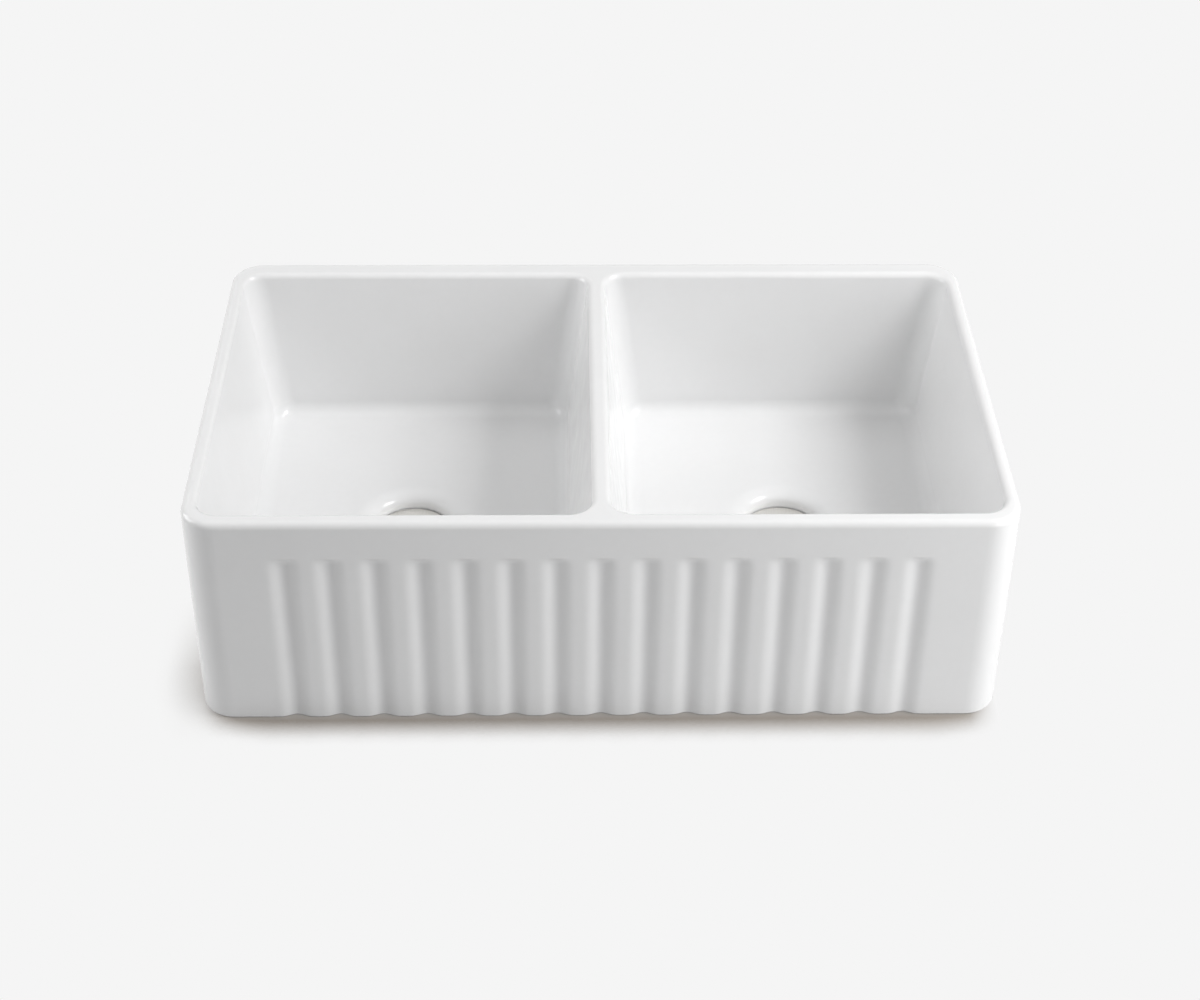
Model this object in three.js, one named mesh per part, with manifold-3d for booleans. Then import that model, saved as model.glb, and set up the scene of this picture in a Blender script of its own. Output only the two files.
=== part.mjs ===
// Double-bowl farmhouse sink with a fluted apron front, and a low basket strainer in each drain.
// Millimetres, +Z up. The origin is the centre of the base, the apron faces -Y, +X is to the right.
import * as THREE from "three";
import { mergeVertices } from "three/addons/utils/BufferGeometryUtils.js";
import Module from "manifold-3d";

const wasm = await Module();
wasm.setup();

// ---------------------------------------------------------------------------------------------
// Driving dimensions
// ---------------------------------------------------------------------------------------------

// Fireclay body, outside
const WIDTH = 838.2;
const DEPTH = 504;
const HEIGHT = 254;
const CORNER_RADIUS = 35;
const RIM_EDGE_RADIUS = 7;
const BASE_EDGE_RADIUS = 2.5;

// Walls, measured across the top of the rim
const SIDE_WALL = 15;
const FRONT_WALL = 20;
const BACK_WALL = 27;
const DIVIDER = 20;

// Bowls
const BOWL_EDGE_RADIUS = 7;
const BOWL_CORNER_RADIUS = 24;
const BOWL_FLOOR_RADIUS = 18;
const SIDE_DRAFT = 24.5;
const FRONT_BACK_DRAFT = 16;
const FLOOR_THICKNESS = 27;
const SKIRT_THICKNESS = 24;
const RECESS_CORNER_RADIUS = 18;

// Flutes in the apron, open at the base
const FLUTE_PITCH = 45.46;
const FLUTE_WIDTH = 45;
const FLUTE_DEPTH = 4.2;
const FLUTE_TOP_MARGIN = 43;
const FLUTE_RUN_OUT = 11;
const APRON_MARGIN = 78;

// Drain mouth in the bowl floor
const THROAT_RADIUS = 43.5;
const LIP_WIDTH = 20;
const LIP_DROP = 11;
const LEDGE_THICKNESS = 12.5;
const BOSS_WALL = 24;

// Fits
const GAP = 0.3;
const COVER_SIDE_GAP = 1.4;
const FLANGE_SIDE_GAP = 0.8;
const BARREL_CLEARANCE = 1;
const THREAD_CLEARANCE = 0.4;
const BASKET_CLEARANCE = 1;

// Drain cover
const COVER_DROP = 16.7;
const COVER_THICKNESS = 2;
const COVER_EDGE_RADIUS = 0.6;
const COVER_FOOT_HEIGHT = 6.3;
const COVER_FOOT_RADIUS = 2.5;
const COVER_FEET = 3;

// Strainer body
const BARREL_RADIUS = 34;
const SHEET = 1.6;
const OUTLET_RADIUS = 20.6;
const SPIGOT_WALL = 2.6;
const SPIGOT_LENGTH = 9;
const HUB_BORE = 5.5;
const HUB_WALL = 2.5;
const SPOKE_WIDTH = 2.6;
const SPOKES = 4;

// Basket
const BASKET_SHEET = 1.2;
const BASKET_RIM_INSET = 1.5;
const BASKET_WALL_TAPER = 4.5;
const BASKET_BOTTOM_RADIUS = 3;
const HOLE_RADIUS = 2.2;
const HOLE_PITCH = 7;
const SLOT_WIDTH = 3.2;
const SLOT_HEIGHT = 11;
const SLOTS = 12;

// Post, seal and clip
const POST_RADIUS = 2.8;
const POST_CLEARANCE = 0.3;
const SHOULDER_RADIUS = 4.5;
const SHOULDER_HEIGHT = 4.5;
const KNOB_RADIUS = 8;
const KNOB_HEIGHT = 7;
const KNOB_FLARE = 3;
const KNOB_EDGE = 2;
const KNOB_TO_COVER = 2;
const SEAL_THICKNESS = 4.5;
const SEAL_OVERLAP = 4.5;
const SEAL_CHAMFER = 1.4;
const CLIP_LENGTH = 9;
const CLIP_SIDE_GAP = 0.6;
const CLIP_NECK = 2.4;
const CLIP_LEAF = 0.8;
const CLIP_BREADTH = 4;

// Rings and nuts
const GASKET_THICKNESS = 1.8;
const SEALING_WASHER_THICKNESS = 1.8;
const FRICTION_WASHER_THICKNESS = 1.1;
const WASHER_BREADTH = 11;
const LOCK_NUT_HEIGHT = 8;
const LOCK_NUT_WALL = 9;
const NUT_TO_CUP_FLOOR = 1.2;
const LUGS = 6;
const LUG_WIDTH = 12;
const LUG_REACH = 6;
const COUPLING_WASHER_THICKNESS = 1.2;
const COUPLING_LIP = 1.8;
const COUPLING_NUT_WALL = 5;
const COUPLING_GRIP = 7;
const RIB_WIDTH = 5;
const RIB_REACH = 1.2;
const PIPE_RADIUS = 19.05;
const PIPE_CLEARANCE = 0.8;
const OUTLET_CLEARANCE = 2.5;

// Facets
const ROUND = 32;
const CORNER_STEPS = 6;
const EDGE_STEPS = 4;
const FLUTE_STEPS = 10;
const LIP_STEPS = 6;
const SMALL_ROUND = 16;
const HOLE_SIDES = 6;
const OVERCUT = 1;

// ---------------------------------------------------------------------------------------------
// Levels, from the base up through the drain fitting to the bowl floor
// ---------------------------------------------------------------------------------------------

const couplingBottom = OUTLET_CLEARANCE;
const couplingLipTop = couplingBottom + COUPLING_LIP;
const couplingWasherBottom = couplingLipTop + GAP;
const couplingWasherTop = couplingWasherBottom + COUPLING_WASHER_THICKNESS;
const spigotEnd = couplingWasherTop + GAP;
const cupUnderside = spigotEnd + SPIGOT_LENGTH;
const cupFloor = cupUnderside + SHEET;
const nutBottom = cupFloor + NUT_TO_CUP_FLOOR;
const nutTop = nutBottom + LOCK_NUT_HEIGHT;
const frictionWasherBottom = nutTop + GAP;
const frictionWasherTop = frictionWasherBottom + FRICTION_WASHER_THICKNESS;
const sealingWasherBottom = frictionWasherTop + GAP;
const sealingWasherTop = sealingWasherBottom + SEALING_WASHER_THICKNESS;
const bossBottom = sealingWasherTop + GAP;
const ledge = bossBottom + LEDGE_THICKNESS;
const gasketBottom = ledge + GAP;
const gasketTop = gasketBottom + GASKET_THICKNESS;
const flangeBottom = gasketTop + GAP;
const flangeTop = flangeBottom + SHEET;
const basketRimBottom = flangeTop + GAP;
const basketRimTop = basketRimBottom + BASKET_SHEET;
const coverFootBottom = basketRimTop + GAP;
const coverBottom = coverFootBottom + COVER_FOOT_HEIGHT;
const coverTop = coverBottom + COVER_THICKNESS;
const bowlFloor = coverTop + COVER_DROP;
const underside = bowlFloor - FLOOR_THICKNESS;

// Levels inside the cup
const sealBottom = cupFloor + GAP;
const sealTop = sealBottom + SEAL_THICKNESS;
const basketBottom = sealTop + GAP;
const basketFloor = basketBottom + BASKET_SHEET;
const knobTop = coverBottom - KNOB_TO_COVER;

// Radii that fit one another
const flangeRadius = THROAT_RADIUS - FLANGE_SIDE_GAP;
const coverRadius = THROAT_RADIUS - COVER_SIDE_GAP;
const ledgeBore = BARREL_RADIUS + BARREL_CLEARANCE;
const cupRadius = BARREL_RADIUS - SHEET;
const spigotRadius = OUTLET_RADIUS + SPIGOT_WALL;
const sealRadius = OUTLET_RADIUS + SEAL_OVERLAP;
const basketRimRadius = flangeRadius - BASKET_RIM_INSET;
const basketTopRadius = cupRadius - BASKET_CLEARANCE;
const basketFootRadius = basketTopRadius - BASKET_WALL_TAPER;
const washerRadius = ledgeBore + WASHER_BREADTH;

// Places of the bowls and drains
const bowlInner = DIVIDER / 2;
const bowlOuter = WIDTH / 2 - SIDE_WALL;
const bowlFront = -DEPTH / 2 + FRONT_WALL;
const bowlBack = DEPTH / 2 - BACK_WALL;
const bowlCentreX = (bowlInner + bowlOuter) / 2;
const bowlCentreY = (bowlFront + bowlBack) / 2;
const bowlHalfX = (bowlOuter - bowlInner) / 2;
const bowlHalfY = (bowlBack - bowlFront) / 2;

// ---------------------------------------------------------------------------------------------
// Helpers: closed rings lofted into a solid, lathed profiles, and boolean joins and cuts
// ---------------------------------------------------------------------------------------------

// A rounded rectangle at height z, as points counter-clockwise seen from above.
function roundedRing(halfX, halfY, radius, z) {
  const quarter = Math.PI / 2;
  const centres = [
    [halfX - radius, halfY - radius],
    [radius - halfX, halfY - radius],
    [radius - halfX, radius - halfY],
    [halfX - radius, radius - halfY],
  ];
  const points = [];
  centres.forEach(([x, y], corner) => {
    for (let step = 0; step <= CORNER_STEPS; step++) {
      const angle = (corner + step / CORNER_STEPS) * quarter;
      points.push(new THREE.Vector3(x + radius * Math.cos(angle), y + radius * Math.sin(angle), z));
    }
  });
  return points;
}

// Rings with the same number of points, listed from the bottom up, joined into one closed surface.
function loft(rings) {
  const count = rings[0].length;
  const positions = rings.flat().flatMap((point) => [point.x, point.y, point.z]);
  const index = [];
  for (let level = 0; level < rings.length - 1; level++) {
    for (let i = 0; i < count; i++) {
      const a = level * count + i;
      const b = level * count + ((i + 1) % count);
      index.push(a, b, b + count, a, b + count, a + count);
    }
  }
  const outline = rings[0].map((point) => new THREE.Vector2(point.x, point.y));
  const top = (rings.length - 1) * count;
  for (const [a, b, c] of THREE.ShapeUtils.triangulateShape(outline, [])) {
    index.push(a, c, b);
    index.push(top + a, top + b, top + c);
  }
  const geometry = new THREE.BufferGeometry();
  geometry.setAttribute("position", new THREE.Float32BufferAttribute(positions, 3));
  geometry.setIndex(index);
  return geometry;
}

// A profile of [radius, height] points, counter-clockwise in the r-z plane, turned about +Z.
function turned(profile, segments = ROUND) {
  const points = profile.map(([radius, height]) => new THREE.Vector2(radius, height));
  if (profile[0][0] > 0) points.push(points[0].clone());
  return new THREE.LatheGeometry(points, segments).rotateX(Math.PI / 2);
}

// A flat ring with a square section.
function ringGeometry(inner, outer, bottom, top) {
  return turned([
    [inner, bottom],
    [outer, bottom],
    [outer, top],
    [inner, top],
  ]);
}

function cylinder(radius, bottom, top, segments) {
  return new THREE.CylinderGeometry(radius, radius, top - bottom, segments)
    .rotateX(Math.PI / 2)
    .translate(0, 0, (top + bottom) / 2);
}

function box(sizeX, sizeY, bottom, top) {
  return new THREE.BoxGeometry(sizeX, sizeY, top - bottom).translate(0, 0, (top + bottom) / 2);
}

function solid(geometry) {
  const plain = geometry.clone();
  plain.deleteAttribute("normal");
  plain.deleteAttribute("uv");
  const merged = mergeVertices(plain, 1e-4);
  const vertProperties = merged.attributes.position.array;
  const triVerts = new Uint32Array(merged.index.array);
  return new wasm.Manifold(new wasm.Mesh({ numProp: 3, vertProperties, triVerts }));
}

function joined(base, geometries) {
  return geometries.reduce((sum, geometry) => sum.add(solid(geometry)), base);
}

function cut(base, geometries) {
  return geometries.reduce((rest, geometry) => rest.subtract(solid(geometry)), base);
}

function geometryOf(manifold) {
  const mesh = manifold.getMesh();
  const geometry = new THREE.BufferGeometry();
  geometry.setAttribute("position", new THREE.BufferAttribute(mesh.vertProperties, 3));
  geometry.setIndex(new THREE.BufferAttribute(mesh.triVerts, 1));
  return geometry;
}

// Copies of a geometry spaced evenly round +Z.
function around(count, geometry) {
  return Array.from({ length: count }, (_, i) =>
    geometry.clone().rotateZ((i * 2 * Math.PI) / count),
  );
}

// Steps from 0 to 1, both ends included.
function steps(count) {
  return Array.from({ length: count + 1 }, (_, i) => i / count);
}

// ---------------------------------------------------------------------------------------------
// Fireclay body
// ---------------------------------------------------------------------------------------------

// The outside: a small round at the base, upright sides and a larger round at the rim.
function outsideGeometry() {
  const ring = (inset, z) =>
    roundedRing(WIDTH / 2 - inset, DEPTH / 2 - inset, CORNER_RADIUS - inset, z);
  const base = steps(EDGE_STEPS).map((t) => {
    const angle = (t * Math.PI) / 2;
    const inset = BASE_EDGE_RADIUS * (1 - Math.sin(angle));
    return ring(inset, BASE_EDGE_RADIUS * (1 - Math.cos(angle)));
  });
  const rim = steps(EDGE_STEPS).map((t) => {
    const angle = (t * Math.PI) / 2;
    const inset = RIM_EDGE_RADIUS * (1 - Math.cos(angle));
    return ring(inset, HEIGHT - RIM_EDGE_RADIUS * (1 - Math.sin(angle)));
  });
  return loft([...base, ...rim]);
}

// The space inside one bowl: a round at the floor, drafted walls and a flare at the rim.
function bowlGeometry(side) {
  const wallTop = HEIGHT - BOWL_EDGE_RADIUS;
  const tilt = Math.atan((SIDE_DRAFT + FRONT_BACK_DRAFT) / 2 / (wallTop - bowlFloor));
  const tangent = BOWL_FLOOR_RADIUS * Math.tan(Math.PI / 4 - tilt / 2);
  const ring = (draft, inset, z) =>
    roundedRing(
      bowlHalfX - draft * SIDE_DRAFT - inset,
      bowlHalfY - draft * FRONT_BACK_DRAFT - inset,
      BOWL_CORNER_RADIUS - inset,
      z,
    ).map((point) => point.add(new THREE.Vector3(side * bowlCentreX, bowlCentreY, 0)));
  const floor = steps(EDGE_STEPS).map((t) => {
    const angle = Math.PI / 2 - t * (Math.PI / 2 - tilt);
    const inset = tangent - BOWL_FLOOR_RADIUS * Math.cos(angle);
    return ring(1, inset, bowlFloor + BOWL_FLOOR_RADIUS * (1 - Math.sin(angle)));
  });
  const rim = steps(EDGE_STEPS).map((t) => {
    const angle = (t * Math.PI) / 2;
    const flare = BOWL_EDGE_RADIUS * (1 - Math.cos(angle));
    return ring(0, -flare, wallTop + BOWL_EDGE_RADIUS * Math.sin(angle));
  });
  return loft([...floor, ...rim, ring(0, -BOWL_EDGE_RADIUS, HEIGHT + OVERCUT)]);
}

// One flute: a bell-shaped groove that runs out of the base and fades out at its top.
function fluteGeometry(x) {
  const fluteTop = HEIGHT - FLUTE_TOP_MARGIN;
  const front = -DEPTH / 2 - OVERCUT;
  const ring = (depth, z) => {
    const bell = steps(FLUTE_STEPS).map((t) => {
      const groove = depth * Math.sin(Math.PI * t) ** 4;
      return new THREE.Vector3(x + (0.5 - t) * FLUTE_WIDTH, -DEPTH / 2 + groove, z);
    });
    bell[0].y = front;
    bell[FLUTE_STEPS].y = front;
    return bell;
  };
  const runOut = steps(EDGE_STEPS).map((t) => {
    const depth = FLUTE_DEPTH * Math.cos((t * Math.PI) / 2);
    return ring(depth - (t * OVERCUT) / 2, fluteTop - FLUTE_RUN_OUT * (1 - t));
  });
  return loft([ring(FLUTE_DEPTH, -OVERCUT), ...runOut]);
}

function flutes() {
  const count = Math.floor((WIDTH - 2 * APRON_MARGIN) / FLUTE_PITCH);
  return Array.from({ length: count }, (_, i) => fluteGeometry((i - (count - 1) / 2) * FLUTE_PITCH));
}

// The drain mouth: a soft lip, an upright throat, and the bore through the ledge below it.
function drainMouthGeometry(side) {
  const lip = steps(LIP_STEPS).map((t) => {
    const angle = (t * Math.PI) / 2;
    return [
      THROAT_RADIUS + LIP_WIDTH * (1 - Math.cos(angle)),
      bowlFloor - LIP_DROP * (1 - Math.sin(angle)),
    ];
  });
  return turned([
    [0, bossBottom - OVERCUT],
    [ledgeBore, bossBottom - OVERCUT],
    [ledgeBore, ledge],
    [THROAT_RADIUS, ledge],
    ...lip,
    [THROAT_RADIUS + LIP_WIDTH, bowlFloor + OVERCUT],
    [0, bowlFloor + OVERCUT],
  ]).translate(side * bowlCentreX, bowlCentreY, 0);
}

// The hollow under the bowls, inside the foot ring.
function recessGeometry() {
  const ring = (z) =>
    roundedRing(
      WIDTH / 2 - SKIRT_THICKNESS,
      DEPTH / 2 - SKIRT_THICKNESS,
      RECESS_CORNER_RADIUS,
      z,
    );
  return loft([ring(-OVERCUT), ring(underside)]);
}

// The thick collar under a drain mouth that the lock nut clamps against.
function bossGeometry(side) {
  return cylinder(ledgeBore + BOSS_WALL, bossBottom, underside + OVERCUT, ROUND).translate(
    side * bowlCentreX,
    bowlCentreY,
    0,
  );
}

function sinkBody() {
  const sides = [-1, 1];
  const shell = cut(solid(outsideGeometry()), [recessGeometry(), ...flutes()]);
  const collared = joined(shell, sides.map(bossGeometry));
  return geometryOf(cut(collared, [...sides.map(bowlGeometry), ...sides.map(drainMouthGeometry)]));
}

// ---------------------------------------------------------------------------------------------
// Pieces of one drain fitting, each made about its own +Z axis
// ---------------------------------------------------------------------------------------------

// Flat disc on three feet, which leaves a gap for water all round.
function drainCover() {
  const disc = turned([
    [0, coverBottom],
    [coverRadius - COVER_EDGE_RADIUS, coverBottom],
    [coverRadius, coverBottom + COVER_EDGE_RADIUS],
    [coverRadius, coverTop - COVER_EDGE_RADIUS],
    [coverRadius - COVER_EDGE_RADIUS, coverTop],
    [0, coverTop],
  ]);
  const foot = cylinder(
    COVER_FOOT_RADIUS,
    coverFootBottom,
    coverBottom + COVER_THICKNESS / 2,
    SMALL_ROUND,
  ).translate((basketTopRadius + basketRimRadius) / 2, 0, 0);
  return geometryOf(joined(solid(disc), around(COVER_FEET, foot)));
}

// Pressed sheet basket: flat rim, tapered slotted wall and a floor with rings of holes.
function basket() {
  const hole = POST_RADIUS + POST_CLEARANCE;
  const cup = turned([
    [hole, basketBottom],
    [basketFootRadius - BASKET_BOTTOM_RADIUS, basketBottom],
    [basketFootRadius, basketBottom + BASKET_BOTTOM_RADIUS],
    [basketTopRadius, basketRimBottom],
    [basketRimRadius, basketRimBottom],
    [basketRimRadius, basketRimTop],
    [basketTopRadius - BASKET_SHEET, basketRimTop],
    [basketFootRadius - BASKET_SHEET, basketBottom + BASKET_BOTTOM_RADIUS],
    [basketFootRadius - BASKET_BOTTOM_RADIUS, basketFloor],
    [hole, basketFloor],
  ]);
  const drill = cylinder(HOLE_RADIUS, basketBottom - OVERCUT, basketFloor + OVERCUT, HOLE_SIDES);
  const holes = [];
  const outermost = basketFootRadius - BASKET_BOTTOM_RADIUS - HOLE_RADIUS;
  for (let radius = hole + HOLE_PITCH; radius < outermost; radius += HOLE_PITCH) {
    const count = Math.floor((2 * Math.PI * radius) / HOLE_PITCH);
    holes.push(...around(count, drill.clone().translate(radius, 0, 0)));
  }
  const slotMiddle = (basketFloor + BASKET_BOTTOM_RADIUS + basketRimBottom) / 2;
  const slot = box(
    BASKET_WALL_TAPER + 2 * (BASKET_SHEET + OVERCUT),
    SLOT_WIDTH,
    slotMiddle - SLOT_HEIGHT / 2,
    slotMiddle + SLOT_HEIGHT / 2,
  ).translate((basketTopRadius + basketFootRadius) / 2, 0, 0);
  return geometryOf(cut(solid(cup), [...holes, ...around(SLOTS, slot)]));
}

// Centre post with a mushroom knob, a shoulder on the basket floor and a riveted foot.
function basketPost() {
  const knobBottom = knobTop - KNOB_HEIGHT;
  const shoulder = basketFloor + GAP;
  return turned(
    [
      [0, sealBottom],
      [POST_RADIUS, sealBottom],
      [POST_RADIUS, shoulder],
      [SHOULDER_RADIUS, shoulder],
      [SHOULDER_RADIUS, shoulder + SHOULDER_HEIGHT / 2],
      [POST_RADIUS, shoulder + SHOULDER_HEIGHT],
      [POST_RADIUS, knobBottom],
      [KNOB_RADIUS, knobBottom + KNOB_FLARE],
      [KNOB_RADIUS, knobTop - KNOB_EDGE],
      [KNOB_RADIUS - KNOB_EDGE, knobTop],
      [0, knobTop],
    ],
    SMALL_ROUND,
  );
}

// Rubber disc with a tapered rim, threaded on the post below the basket.
function stopperSeal() {
  const hole = POST_RADIUS + POST_CLEARANCE;
  return turned([
    [hole, sealBottom],
    [OUTLET_RADIUS, sealBottom],
    [sealRadius, sealBottom + SEAL_CHAMFER],
    [sealRadius, sealTop - SEAL_CHAMFER],
    [OUTLET_RADIUS, sealTop],
    [hole, sealTop],
  ]);
}

// Spring fork that hangs in the bore of the crossbar hub.
function springClip() {
  const reach = HUB_BORE - CLIP_SIDE_GAP;
  const half = Math.sqrt(reach ** 2 - (CLIP_BREADTH / 2) ** 2);
  const top = sealBottom - GAP;
  const waist = top - CLIP_LENGTH / 2;
  const foot = top - CLIP_LENGTH;
  const right = [
    [CLIP_NECK, top],
    [half, waist],
    [CLIP_NECK, foot],
    [CLIP_NECK - CLIP_LEAF, foot],
    [half - CLIP_LEAF, waist],
    [CLIP_NECK - CLIP_LEAF, top - CLIP_LEAF],
  ];
  const left = right.map(([x, z]) => [-x, z]).reverse();
  const fork = new THREE.Shape([...right, ...left].map(([x, z]) => new THREE.Vector2(x, z)));
  return new THREE.ExtrudeGeometry(fork, { depth: CLIP_BREADTH, bevelEnabled: false })
    .rotateX(Math.PI / 2)
    .translate(0, CLIP_BREADTH / 2, 0);
}

// Flanged cup with its barrel, outlet spigot, and a crossbar of spokes round a hub.
function strainerBody() {
  const cup = turned([
    [OUTLET_RADIUS, spigotEnd],
    [spigotRadius, spigotEnd],
    [spigotRadius, cupUnderside],
    [BARREL_RADIUS, cupUnderside],
    [BARREL_RADIUS, flangeBottom],
    [flangeRadius, flangeBottom],
    [flangeRadius, flangeTop],
    [cupRadius, flangeTop],
    [cupRadius, cupFloor],
    [OUTLET_RADIUS, cupFloor],
  ]);
  const spokeStart = HUB_BORE + HUB_WALL / 2;
  const spokeEnd = OUTLET_RADIUS + SPIGOT_WALL / 2;
  const spokeTop = cupFloor - GAP;
  const spoke = box(spokeEnd - spokeStart, SPOKE_WIDTH, cupUnderside, spokeTop).translate(
    (spokeStart + spokeEnd) / 2,
    0,
    0,
  );
  const hub = ringGeometry(HUB_BORE, HUB_BORE + HUB_WALL, cupUnderside, spokeTop);
  return geometryOf(joined(solid(cup), [hub, ...around(SPOKES, spoke)]));
}

function flangeGasket() {
  return ringGeometry(ledgeBore, flangeRadius, gasketBottom, gasketTop);
}

function sealingWasher() {
  return ringGeometry(ledgeBore, washerRadius, sealingWasherBottom, sealingWasherTop);
}

function frictionWasher() {
  return ringGeometry(ledgeBore, washerRadius, frictionWasherBottom, frictionWasherTop);
}

// Round nut with lugs for a spanner.
function lockNut() {
  const bore = BARREL_RADIUS + THREAD_CLEARANCE;
  const ring = ringGeometry(bore, bore + LOCK_NUT_WALL, nutBottom, nutTop);
  const lug = box(LUG_REACH * 2, LUG_WIDTH, nutBottom, nutTop).translate(
    bore + LOCK_NUT_WALL,
    0,
    0,
  );
  return geometryOf(joined(solid(ring), around(LUGS, lug)));
}

// Taper ring pressed round the waste pipe by the slip nut.
function couplingWasher() {
  const bore = PIPE_RADIUS + PIPE_CLEARANCE / 2;
  return turned([
    [bore, couplingWasherBottom],
    [spigotRadius, couplingWasherBottom],
    [OUTLET_RADIUS + SPIGOT_WALL / 2, couplingWasherTop],
    [bore, couplingWasherTop],
  ]);
}

// Slip nut with an inward lip under the washer and grip ribs outside.
function couplingNut() {
  const bore = spigotRadius + THREAD_CLEARANCE;
  const outside = bore + COUPLING_NUT_WALL;
  const top = couplingLipTop + COUPLING_GRIP;
  const shell = turned([
    [PIPE_RADIUS + PIPE_CLEARANCE, couplingBottom],
    [outside, couplingBottom],
    [outside, top],
    [bore, top],
    [bore, couplingLipTop],
    [PIPE_RADIUS + PIPE_CLEARANCE, couplingLipTop],
  ]);
  const rib = box(RIB_REACH * 2, RIB_WIDTH, couplingBottom, top).translate(outside, 0, 0);
  return geometryOf(joined(solid(shell), around(LUGS, rib)));
}

// ---------------------------------------------------------------------------------------------
// Materials and assembly
// ---------------------------------------------------------------------------------------------

const finish = (color, roughness, metalness) =>
  new THREE.MeshStandardMaterial({ color, roughness, metalness });

const GLAZE = finish(0xf2f2f1, 0.12, 0);
const SATIN_STEEL = finish(0xc9c7c1, 0.35, 1);
const BRIGHT_STEEL = finish(0xcfd1d3, 0.2, 1);
const BLACK_RUBBER = finish(0x1e1e1f, 0.8, 0);
const FIBRE = finish(0xa8865c, 0.9, 0);
const NUT_METAL = finish(0xb9b4a8, 0.45, 1);
const WHITE_PLASTIC = finish(0xe6e6e2, 0.5, 0);

function piece(name, geometry, material) {
  const mesh = new THREE.Mesh(geometry, material.clone());
  mesh.name = name;
  return mesh;
}

function drainFitting(name, side) {
  const fitting = new THREE.Group();
  fitting.position.set(side * bowlCentreX, bowlCentreY, 0);
  fitting.add(
    piece(`${name}_drain_cover`, drainCover(), SATIN_STEEL),
    piece(`${name}_basket`, basket(), BRIGHT_STEEL),
    piece(`${name}_basket_post`, basketPost(), BRIGHT_STEEL),
    piece(`${name}_stopper_seal`, stopperSeal(), BLACK_RUBBER),
    piece(`${name}_spring_clip`, springClip(), BRIGHT_STEEL),
    piece(`${name}_strainer_body`, strainerBody(), BRIGHT_STEEL),
    piece(`${name}_flange_gasket`, flangeGasket(), BLACK_RUBBER),
    piece(`${name}_sealing_washer`, sealingWasher(), BLACK_RUBBER),
    piece(`${name}_friction_washer`, frictionWasher(), FIBRE),
    piece(`${name}_lock_nut`, lockNut(), NUT_METAL),
    piece(`${name}_coupling_washer`, couplingWasher(), WHITE_PLASTIC),
    piece(`${name}_coupling_nut`, couplingNut(), NUT_METAL),
  );
  return fitting;
}

const sink = new THREE.Group();
sink.add(
  piece("sink_body", sinkBody(), GLAZE),
  drainFitting("left", -1),
  drainFitting("right", 1),
);

export default sink;
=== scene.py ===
"""Looks of a double-bowl farmhouse sink with a fluted apron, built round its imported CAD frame."""
import math

import bmesh
import bpy
import numpy as np
from mathutils import Matrix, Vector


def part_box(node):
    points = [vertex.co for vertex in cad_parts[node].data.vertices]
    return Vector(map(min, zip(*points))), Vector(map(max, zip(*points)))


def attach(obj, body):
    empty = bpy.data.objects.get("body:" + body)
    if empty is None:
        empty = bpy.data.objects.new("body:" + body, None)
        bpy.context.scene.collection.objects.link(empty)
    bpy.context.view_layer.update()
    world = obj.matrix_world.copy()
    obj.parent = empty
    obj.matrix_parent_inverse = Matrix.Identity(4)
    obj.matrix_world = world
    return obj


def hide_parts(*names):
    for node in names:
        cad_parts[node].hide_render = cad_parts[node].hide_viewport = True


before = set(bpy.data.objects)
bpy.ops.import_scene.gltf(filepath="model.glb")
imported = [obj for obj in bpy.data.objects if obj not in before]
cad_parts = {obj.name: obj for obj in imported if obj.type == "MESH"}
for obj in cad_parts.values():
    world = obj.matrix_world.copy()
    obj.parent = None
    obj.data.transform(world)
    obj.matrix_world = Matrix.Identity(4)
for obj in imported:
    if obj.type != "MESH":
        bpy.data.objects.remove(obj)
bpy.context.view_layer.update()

# Sizes are in millimetres, as in the CAD source, and a mesh is scaled to metres when it is made.
MM = 0.001

# ---------------------------------------------------------------------------------------------
# Fireclay body: sizes
# ---------------------------------------------------------------------------------------------

WIDTH = 838.2
DEPTH = 504.0
HEIGHT = 254.0
CORNER_RADIUS = 35.0
RIM_EDGE_RADIUS = 7.0
BASE_EDGE_RADIUS = 2.5
SIDE_WALL = 15.0
FRONT_WALL = 20.0
BACK_WALL = 27.0
DIVIDER = 20.0
BOWL_EDGE_RADIUS = 7.0
BOWL_CORNER_RADIUS = 24.0
BOWL_FLOOR_RADIUS = 18.0
SIDE_DRAFT = 24.5
FRONT_BACK_DRAFT = 16.0
SKIRT_THICKNESS = 24.0
RECESS_CORNER_RADIUS = 18.0
RECESS_FILLET = 9.0
FOOT_INNER_RADIUS = 3.0
BOWL_FLOOR = 73.0
UNDERSIDE = 46.0
BOSS_BOTTOM = 29.7
BOSS_RADIUS = 59.0
BOSS_EDGE_RADIUS = 2.0
BOSS_FILLET = 6.0
LEDGE = 42.2
LEDGE_BORE = 35.0
LEDGE_EDGE_RADIUS = 0.8
THROAT_RADIUS = 43.5
LIP_WIDTH = 20.0
LIP_DROP = 11.0
FLUTES = 15
FLUTE_PITCH = 45.46
FLUTE_WIDTH = 45.0
FLUTE_DEPTH = 4.2
FLUTE_TOP = HEIGHT - 43.0
FLUTE_RUN_OUT = 11.0

# Steps round the outline of the right half, from the centre of the front to the centre line
FRONT_STEPS = 240
CORNER_STEPS = 14
SIDE_STEPS = 44
BACK_STEPS = 44
CENTRE_STEPS = 52
FRONT_INNER_STEPS = 24
BACK_INNER_STEPS = 6

BOWL_X = (DIVIDER / 2 + WIDTH / 2 - SIDE_WALL) / 2
BOWL_Y = (FRONT_WALL - BACK_WALL) / 2
BOWL_HALF_X = (WIDTH / 2 - SIDE_WALL - DIVIDER / 2) / 2
BOWL_HALF_Y = (DEPTH - FRONT_WALL - BACK_WALL) / 2


# ---------------------------------------------------------------------------------------------
# Mesh helpers
# ---------------------------------------------------------------------------------------------

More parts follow.
